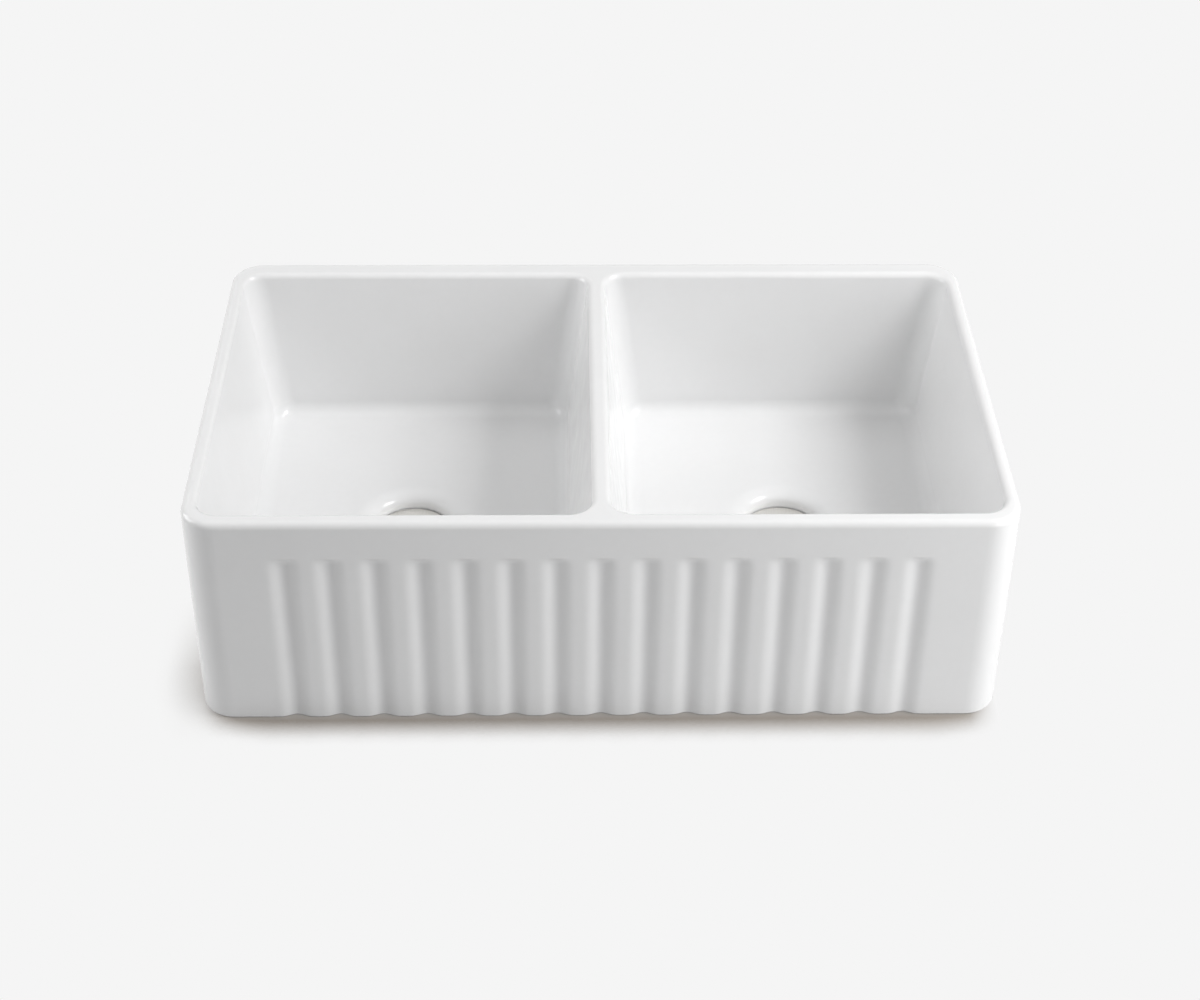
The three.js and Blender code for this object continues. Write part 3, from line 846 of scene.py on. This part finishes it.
class Finish:
    """A material whose colour, roughness and bump come from procedural patterns on the piece itself."""

    def __init__(self, name, **uniform):
        self.material = bpy.data.materials.new(name)
        self.material.use_nodes = True
        self.nodes = self.material.node_tree.nodes
        self.links = self.material.node_tree.links
        self.shader = self.nodes["Principled BSDF"]
        self.place = self.nodes.new("ShaderNodeTexCoord").outputs["Object"]
        self.height = None
        for socket, value in uniform.items():
            self.shader.inputs[socket.replace("_", " ")].default_value = value

    def noise(self, size, detail=2.0, stretch=(1, 1, 1), place=None):
        """Soft noise whose features are about size millimetres wide."""
        scaled = self.nodes.new("ShaderNodeMapping")
        scaled.inputs["Scale"].default_value = stretch
        self.links.new(place or self.place, scaled.inputs["Vector"])
        texture = self.nodes.new("ShaderNodeTexNoise")
        texture.inputs["Scale"].default_value = 1 / (size * MM)
        texture.inputs["Detail"].default_value = detail
        self.links.new(scaled.outputs["Vector"], texture.inputs["Vector"])
        return texture.outputs["Fac"]

    def attribute(self, name):
        node = self.nodes.new("ShaderNodeAttribute")
        node.attribute_name = name
        return node.outputs["Fac"]

    def remap(self, value, low, high, to_low=0.0, to_high=1.0):
        node = self.nodes.new("ShaderNodeMapRange")
        node.inputs["From Min"].default_value = low
        node.inputs["From Max"].default_value = high
        node.inputs["To Min"].default_value = to_low
        node.inputs["To Max"].default_value = to_high
        self.links.new(value, node.inputs["Value"])
        return node.outputs["Result"]

    def math(self, operation, first, second):
        node = self.nodes.new("ShaderNodeMath")
        node.operation = operation
        for socket, value in zip(node.inputs, (first, second)):
            if isinstance(value, (int, float)):
                socket.default_value = value
            else:
                self.links.new(value, socket)
        return node.outputs["Value"]

    def mix(self, share, first, second):
        node = self.nodes.new("ShaderNodeMix")
        node.data_type = "RGBA"
        self.links.new(share, node.inputs["Factor"])
        for socket, value in ((node.inputs[6], first), (node.inputs[7], second)):
            if isinstance(value, tuple):
                socket.default_value = (*value, 1)
            else:
                self.links.new(value, socket)
        return node.outputs[2]

    def radius(self):
        """A place that changes only with the distance from the piece's own axis, for turned marks."""
        split = self.nodes.new("ShaderNodeSeparateXYZ")
        self.links.new(self.place, split.inputs[0])
        square = self.math(
            "ADD",
            self.math("MULTIPLY", split.outputs[0], split.outputs[0]),
            self.math("MULTIPLY", split.outputs[1], split.outputs[1]),
        )
        made = self.nodes.new("ShaderNodeCombineXYZ")
        self.links.new(self.math("POWER", square, 0.5), made.inputs[0])
        self.links.new(split.outputs[2], made.inputs[2])
        return made.outputs[0]

    def bump(self, height, distance):
        """Adds bumps of about distance millimetres."""
        node = self.nodes.new("ShaderNodeBump")
        node.inputs["Distance"].default_value = distance * MM
        self.links.new(height, node.inputs["Height"])
        if self.height:
            self.links.new(self.height, node.inputs["Normal"])
        self.height = node.outputs["Normal"]
        self.links.new(self.height, self.shader.inputs["Normal"])

    def colour(self, value):
        self.links.new(value, self.shader.inputs["Base Color"])

    def roughness(self, value):
        self.links.new(value, self.shader.inputs["Roughness"])


def glaze_finish():
    """White glaze, a little thinner and warmer on edges, cooler where it pools, over bare clay."""
    finish = Finish("white_glaze", Specular_IOR_Level=0.5)
    bend = finish.attribute("bend")
    cloud = finish.remap(finish.noise(120, 2), 0.3, 0.7)
    mottle = finish.remap(finish.noise(9, 4), 0.35, 0.65)
    base = finish.mix(cloud, (0.860, 0.861, 0.862), (0.878, 0.879, 0.881))
    base = finish.mix(finish.math("MULTIPLY", mottle, 0.25), base, (0.845, 0.846, 0.848))
    thin = finish.math("MULTIPLY", finish.remap(bend, 0.02, 0.25), 0.5)
    base = finish.mix(thin, base, (0.845, 0.838, 0.825))
    pooled = finish.math("MULTIPLY", finish.remap(bend, -0.01, -0.08), 0.4)
    base = finish.mix(pooled, base, (0.828, 0.834, 0.838))
    speck = finish.remap(finish.noise(1.3, 1), 0.79, 0.83)
    base = finish.mix(finish.math("MULTIPLY", speck, 0.35), base, (0.62, 0.57, 0.50))
    fray = finish.remap(finish.noise(6, 3), 0, 1, -0.35, 0.35)
    ragged = finish.math("ADD", finish.attribute("bare"), fray)
    bare = finish.remap(ragged, 0.45, 0.6)
    grain = finish.noise(0.9, 5)
    clay = finish.mix(finish.remap(grain, 0.3, 0.7), (0.66, 0.61, 0.53), (0.74, 0.70, 0.62))
    clay = finish.mix(finish.remap(finish.noise(40, 3), 0.4, 0.65, 0, 0.5), clay, (0.77, 0.76, 0.72))
    finish.colour(finish.mix(bare, base, clay))
    gloss = finish.remap(finish.noise(30, 3), 0.3, 0.7, 0.09, 0.15)
    finish.roughness(finish.math("ADD", gloss, finish.math("MULTIPLY", bare, 0.7)))
    finish.bump(finish.noise(55, 1), 0.04)
    finish.bump(finish.noise(7, 1), 0.002)
    finish.bump(finish.math("MULTIPLY", grain, bare), 0.25)
    return finish.material


def satin_steel_finish():
    """Satin stainless sheet, brushed in one direction, with faint marks and a painted highlight on its outer
    edges.
    """
    finish = Finish("satin_steel", Metallic=1.0)
    brush = finish.noise(0.5, 4, stretch=(1, 0.02, 1))
    patch = finish.noise(25, 3)
    base = finish.mix(finish.remap(brush, 0.3, 0.7), (0.65, 0.638, 0.612), (0.74, 0.728, 0.70))
    base = finish.mix(finish.remap(patch, 0.35, 0.7, 0, 0.35), base, (0.63, 0.618, 0.59))
    # Painted highlight: the outer edges are lighter
    edge = finish.remap(finish.attribute("bend"), 0.1, 0.5, 0, 0.5)
    finish.colour(finish.mix(edge, base, (0.80, 0.79, 0.77)))
    finish.roughness(finish.remap(finish.noise(8, 4), 0.3, 0.7, 0.42, 0.54))
    finish.bump(brush, 0.01)
    return finish.material


def bright_steel_finish():
    """Pressed stainless sheet with turned polishing marks, light scratches and painted shade in its hollows.
    """
    finish = Finish("bright_steel", Metallic=1.0)
    rings = finish.noise(0.35, 3, place=finish.radius())
    wear = finish.noise(6, 5)
    base = finish.mix(finish.remap(rings, 0.3, 0.7), (0.60, 0.60, 0.60), (0.70, 0.70, 0.695))
    # Painted shade: the sheet is darker in its hollows
    painted_hollow_shade = finish.remap(finish.attribute("bend"), -0.05, -0.5, 0, 0.5)
    finish.colour(finish.mix(painted_hollow_shade, base, (0.45, 0.44, 0.42)))
    finish.roughness(finish.remap(wear, 0.3, 0.7, 0.17, 0.3))
    finish.bump(rings, 0.006)
    finish.bump(finish.noise(0.3, 2, stretch=(1, 0.03, 0.3)), 0.004)
    return finish.material


def rubber_finish():
    """Matt black rubber with a chalky bloom, fine moulding grain and a painted sheen on its outer edges."""
    finish = Finish("black_rubber", Specular_IOR_Level=0.35)
    bloom = finish.remap(finish.noise(4, 4), 0.45, 0.75, 0, 0.6)
    base = finish.mix(bloom, (0.018, 0.018, 0.019), (0.045, 0.044, 0.043))
    # Painted sheen: the outer edges are lighter
    edge = finish.remap(finish.attribute("bend"), 0.2, 1.2, 0, 0.5)
    finish.colour(finish.mix(edge, base, (0.06, 0.058, 0.056)))
    finish.roughness(finish.remap(finish.noise(1.5, 3), 0.3, 0.7, 0.62, 0.85))
    finish.bump(finish.noise(0.35, 3), 0.03)
    return finish.material


def fibre_finish():
    """Pressed brown fibre with visible strands."""
    finish = Finish("fibre", Specular_IOR_Level=0.2)
    strands = finish.noise(0.7, 5, stretch=(1, 0.25, 1))
    base = finish.mix(finish.remap(strands, 0.3, 0.7), (0.22, 0.135, 0.07), (0.42, 0.29, 0.17))
    finish.colour(finish.mix(finish.remap(finish.noise(5, 3), 0.5, 0.7, 0, 0.4), base, (0.18, 0.11, 0.06)))
    finish.roughness(finish.remap(strands, 0.3, 0.7, 0.8, 0.95))
    finish.bump(strands, 0.08)
    return finish.material


def brass_finish():
    """Rough cast brass, dull and browned in patches, brighter where a spanner has rubbed."""
    finish = Finish("nut_brass", Metallic=1.0)
    cast = finish.noise(1.1, 4)
    base = finish.mix(finish.remap(cast, 0.3, 0.7), (0.50, 0.37, 0.17), (0.62, 0.47, 0.23))
    tarnish = finish.remap(finish.noise(7, 4), 0.45, 0.7, 0, 0.6)
    base = finish.mix(tarnish, base, (0.34, 0.245, 0.13))
    rubbed = finish.remap(finish.attribute("bend"), 0.15, 0.6, 0, 0.7)
    finish.colour(finish.mix(rubbed, base, (0.78, 0.62, 0.34)))
    finish.roughness(finish.remap(cast, 0.3, 0.7, 0.38, 0.6))
    finish.bump(cast, 0.08)
    return finish.material


def plastic_finish():
    """White moulded plastic with a fine spark texture and a slight yellow cast in places."""
    finish = Finish("white_plastic", Specular_IOR_Level=0.45)
    patch = finish.remap(finish.noise(9, 3), 0.4, 0.7)
    finish.colour(finish.mix(patch, (0.80, 0.80, 0.775), (0.77, 0.76, 0.715)))
    finish.roughness(finish.remap(finish.noise(1.2, 3), 0.3, 0.7, 0.4, 0.55))
    finish.bump(finish.noise(0.4, 2), 0.02)
    return finish.material


FINISHES = {
    "white_glaze": glaze_finish(),
    "satin_steel": satin_steel_finish(),
    "bright_steel": bright_steel_finish(),
    "black_rubber": rubber_finish(),
    "fibre": fibre_finish(),
    "nut_brass": brass_finish(),
    "white_plastic": plastic_finish(),
}


# ---------------------------------------------------------------------------------------------
# Pieces: each one takes the place of its CAD node and rides on that node's body
# ---------------------------------------------------------------------------------------------

def add_piece(name, mesh, node, body, slot, place=(0, 0)):
    piece = bpy.data.objects.new(name, mesh)
    bpy.context.scene.collection.objects.link(piece)
    piece.location = (place[0] * MM, place[1] * MM, 0)
    if not mesh.materials:
        mesh.materials.append(FINISHES[slot])
    mesh.materials[0] = FINISHES[slot]
    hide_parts(node)
    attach(piece, body)
    return piece


body = add_piece("sink_glazed_body", sink_mesh(), "sink_body", "sink", "white_glaze")
weights = body.modifiers.new("flat faces stay flat", "WEIGHTED_NORMAL")
weights.keep_sharp = True

GASKET = ring_mesh("gasket", "flange_gasket", LEDGE_BORE, 0.5)
SEALING = ring_mesh("sealing", "sealing_washer", LEDGE_BORE, 0.5)
FRICTION = ring_mesh("friction", "friction_washer", LEDGE_BORE, 0.2)
TAPER = ring_mesh("taper", "coupling_washer", TAPER_BORE, 0.2, TAPER_TOP_RADIUS)
FITTING = [
    ("cover_disc", "drain_cover", "cover", "satin_steel", cover_mesh()),
    ("basket_cup", "basket", "strainer_basket", "bright_steel", basket_mesh()),
    ("post_and_knob", "basket_post", "strainer_basket", "bright_steel", post_mesh()),
    ("seal_disc", "stopper_seal", "strainer_basket", "black_rubber", seal_mesh()),
    ("clip_fork", "spring_clip", "strainer_basket", "bright_steel", clip_mesh()),
    ("strainer_cup", "strainer_body", None, "bright_steel", strainer_mesh()),
    ("gasket_ring", "flange_gasket", None, "black_rubber", GASKET),
    ("sealing_ring", "sealing_washer", None, "black_rubber", SEALING),
    ("friction_ring", "friction_washer", None, "fibre", FRICTION),
    ("lock_nut_cast", "lock_nut", None, "nut_brass", lock_nut_mesh()),
    ("taper_ring", "coupling_washer", None, "white_plastic", TAPER),
    ("slip_nut_cast", "coupling_nut", None, "nut_brass", slip_nut_mesh()),
]
for side, direction in (("left", -1), ("right", 1)):
    for name, node, rides, slot, mesh in FITTING:
        add_piece(
            f"{side}_{name}",
            mesh,
            f"{side}_{node}",
            f"{side}_{rides}" if rides else "sink",
            slot,
            (direction * BOWL_X, BOWL_Y),
        )

# ---------------------------------------------------------------------------------------------
# Floor, light and camera
# ---------------------------------------------------------------------------------------------

FLOOR_HALF = 9.0
FLOOR_STEPS = 25
FLOOR_COLOUR = (0.61, 0.61, 0.61)
FLOOR_GRAIN_COLOUR = (0.59, 0.59, 0.59)
SHADED_FLOOR_COLOUR = (0.335, 0.302, 0.27)
BACKGROUND = (0.913, 0.913, 0.913)

# Shade on the floor, in metres. A pair of open sky values is where it starts and where it is full.
FRONT_Y = -DEPTH / 2 * MM
BACK_Y = DEPTH / 2 * MM
LEFT_X = -WIDTH / 2 * MM
SHADE_REACH = 0.07
FRONT_OPEN_SKY = (0.82, 0.58)
SIDE_OPEN_SKY = (0.90, 0.55)
SIDE_STRENGTH = 0.55
SIDE_START_Y = FRONT_Y + 0.20
SIDE_FULL_Y = FRONT_Y + 0.08
FRONT_BLEND = 0.02
BACK_BLEND = 0.01
RIGHT_END_X = 0.39
RIGHT_END_FADE = 0.03


def floor_mesh():
    steps = np.linspace(-FLOOR_HALF / MM, FLOOR_HALF / MM, FLOOR_STEPS)
    rings = [np.array([(x, y, 0) for x in steps]) for y in steps]
    verts, faces = skin(rings, closed=False)
    mesh = bpy.data.meshes.new("floor")
    mesh.from_pydata((verts * MM).tolist(), [], faces.tolist())
    return mesh


def seen_directly(nodes, links):
    """1 for rays from the camera and for reflections, 0 for the light that the scene spreads about."""
    rays = nodes.new("ShaderNodeLightPath")
    value = rays.outputs["Is Camera Ray"]
    for name in ("Is Glossy Ray", "Is Transmission Ray"):
        either = nodes.new("ShaderNodeMath")
        either.operation = "MAXIMUM"
        links.new(value, either.inputs[0])
        links.new(rays.outputs[name], either.inputs[1])
        value = either.outputs["Value"]
    return value


def mixed_shader(nodes, links, share, first, second):
    mix = nodes.new("ShaderNodeMixShader")
    links.new(share, mix.inputs["Fac"])
    links.new(first, mix.inputs[1])
    links.new(second, mix.inputs[2])
    return mix.outputs[0]


def shade_share(finish):
    """How strongly the floor is shaded: most in front of the apron, less at the left and behind."""
    beside = finish.nodes.new("ShaderNodeAmbientOcclusion")
    beside.inputs["Distance"].default_value = SHADE_REACH
    open_sky = beside.outputs["AO"]
    split = finish.nodes.new("ShaderNodeSeparateXYZ")
    finish.links.new(finish.place, split.inputs[0])
    x, y = split.outputs[0], split.outputs[1]
    past_front = finish.remap(y, FRONT_Y + FRONT_BLEND, FRONT_Y - FRONT_BLEND / 4)
    past_left = finish.remap(x, LEFT_X - FRONT_BLEND, LEFT_X + FRONT_BLEND)
    in_front = finish.math("MULTIPLY", past_front, past_left)
    front = finish.math("MULTIPLY", finish.remap(open_sky, *FRONT_OPEN_SKY), in_front)
    at_left = finish.remap(y, SIDE_START_Y, SIDE_FULL_Y, 0.0, SIDE_STRENGTH)
    at_back = finish.remap(y, BACK_Y - BACK_BLEND, BACK_Y + BACK_BLEND, 0.0, SIDE_STRENGTH)
    side_strength = finish.math("MAXIMUM", at_left, at_back)
    side = finish.math("MULTIPLY", finish.remap(open_sky, *SIDE_OPEN_SKY), side_strength)
    side = finish.math("MULTIPLY", side, finish.math("SUBTRACT", 1.0, in_front))
    left_of_end = finish.remap(x, RIGHT_END_X, RIGHT_END_X + RIGHT_END_FADE, 1.0, 0.0)
    return finish.math("MULTIPLY", finish.math("ADD", front, side), left_of_end)


def floor_finish():
    """Pale paper that shows the plain background colour, with a warm shade close to the sink."""
    finish = Finish("floor_paper", Roughness=0.9, Specular_IOR_Level=0.1)
    nodes, links = finish.nodes, finish.links
    grain = finish.remap(finish.noise(3, 3), 0.3, 0.7)
    finish.colour(finish.mix(grain, FLOOR_GRAIN_COLOUR, FLOOR_COLOUR))
    plain = nodes.new("ShaderNodeEmission")
    plain.inputs["Color"].default_value = (*BACKGROUND, 1)
    shaded = nodes.new("ShaderNodeBsdfDiffuse")
    shaded.inputs["Color"].default_value = (*SHADED_FLOOR_COLOUR, 1)
    shown = mixed_shader(nodes, links, shade_share(finish), plain.outputs[0], shaded.outputs[0])
    lit = finish.shader.outputs[0]
    surface = mixed_shader(nodes, links, seen_directly(nodes, links), lit, shown)
    links.new(surface, nodes["Material Output"].inputs["Surface"])
    return finish.material


floor = bpy.data.objects.new("floor", floor_mesh())
floor.data.materials.append(floor_finish())
bpy.context.scene.collection.objects.link(floor)

LAMP_TARGET = (0, 0, 0.15)


def soft_box(name, azimuth, elevation, distance, size, power):
    """A square lamp that faces the sink. Azimuth 0 is to the sink's right and 90 is behind it."""
    data = bpy.data.lights.new(name, "AREA")
    data.shape = "SQUARE"
    data.size = size
    data.energy = power
    lamp = bpy.data.objects.new(name, data)
    bpy.context.scene.collection.objects.link(lamp)
    a, e = math.radians(azimuth), math.radians(elevation)
    backward = np.array([math.cos(e) * math.cos(a), math.cos(e) * math.sin(a), math.sin(e)])
    right = np.cross([0, 0, 1], backward)
    right /= np.linalg.norm(right)
    up = np.cross(backward, right)
    turn = Matrix(np.stack([right, up, backward], 1).tolist()).to_4x4()
    turn.translation = (np.array(LAMP_TARGET) + distance * backward).tolist()
    lamp.matrix_world = turn
    return lamp


soft_box("key", -10, 48, 3.4, 1.3, 65)
soft_box("low_front_right", -36, 12, 1.8, 1.3, 12)
soft_box("low_left", 177, 22, 2.6, 1.5, 30)
soft_box("overhead", 90, 89, 2.6, 3.4, 16)
AMBIENT = 0.2


def add_world():
    world = bpy.data.worlds.new("studio")
    world.use_nodes = True
    bpy.context.scene.world = world
    nodes, links = world.node_tree.nodes, world.node_tree.links
    ambient = nodes["Background"]
    ambient.inputs["Color"].default_value = (1, 1, 1, 1)
    ambient.inputs["Strength"].default_value = AMBIENT
    plain = nodes.new("ShaderNodeBackground")
    plain.inputs["Color"].default_value = (*BACKGROUND, 1)
    surface = mixed_shader(nodes, links, seen_directly(nodes, links), ambient.outputs[0], plain.outputs[0])
    links.new(surface, nodes["World Output"].inputs["Surface"])


add_world()

CAMERA_PLACE = (-0.03785, -1.9803, 1.5683)
CAMERA_PITCH = math.radians(36.623)
CAMERA_YAW = math.radians(1.172)
CAMERA_ROLL = math.radians(-0.519)
FOCAL_PIXELS = 2207
PHOTO_WIDTH = 1200


def add_camera():
    data = bpy.data.cameras.new("camera")
    data.sensor_width = 36
    data.lens = FOCAL_PIXELS / PHOTO_WIDTH * data.sensor_width
    camera = bpy.data.objects.new("camera", data)
    bpy.context.scene.collection.objects.link(camera)
    forward = np.array(
        [
            math.sin(CAMERA_YAW) * math.cos(CAMERA_PITCH),
            math.cos(CAMERA_YAW) * math.cos(CAMERA_PITCH),
            -math.sin(CAMERA_PITCH),
        ]
    )
    level = np.array([math.cos(CAMERA_YAW), -math.sin(CAMERA_YAW), 0])
    down = np.cross(forward, level)
    c, s = math.cos(CAMERA_ROLL), math.sin(CAMERA_ROLL)
    right = c * level + s * down
    below = -s * level + c * down
    turn = Matrix(np.stack([right, -below, -forward], 1).tolist()).to_4x4()
    turn.translation = CAMERA_PLACE
    camera.matrix_world = turn
    bpy.context.scene.camera = camera


add_camera()
bpy.context.scene.view_settings.view_transform = "Standard"
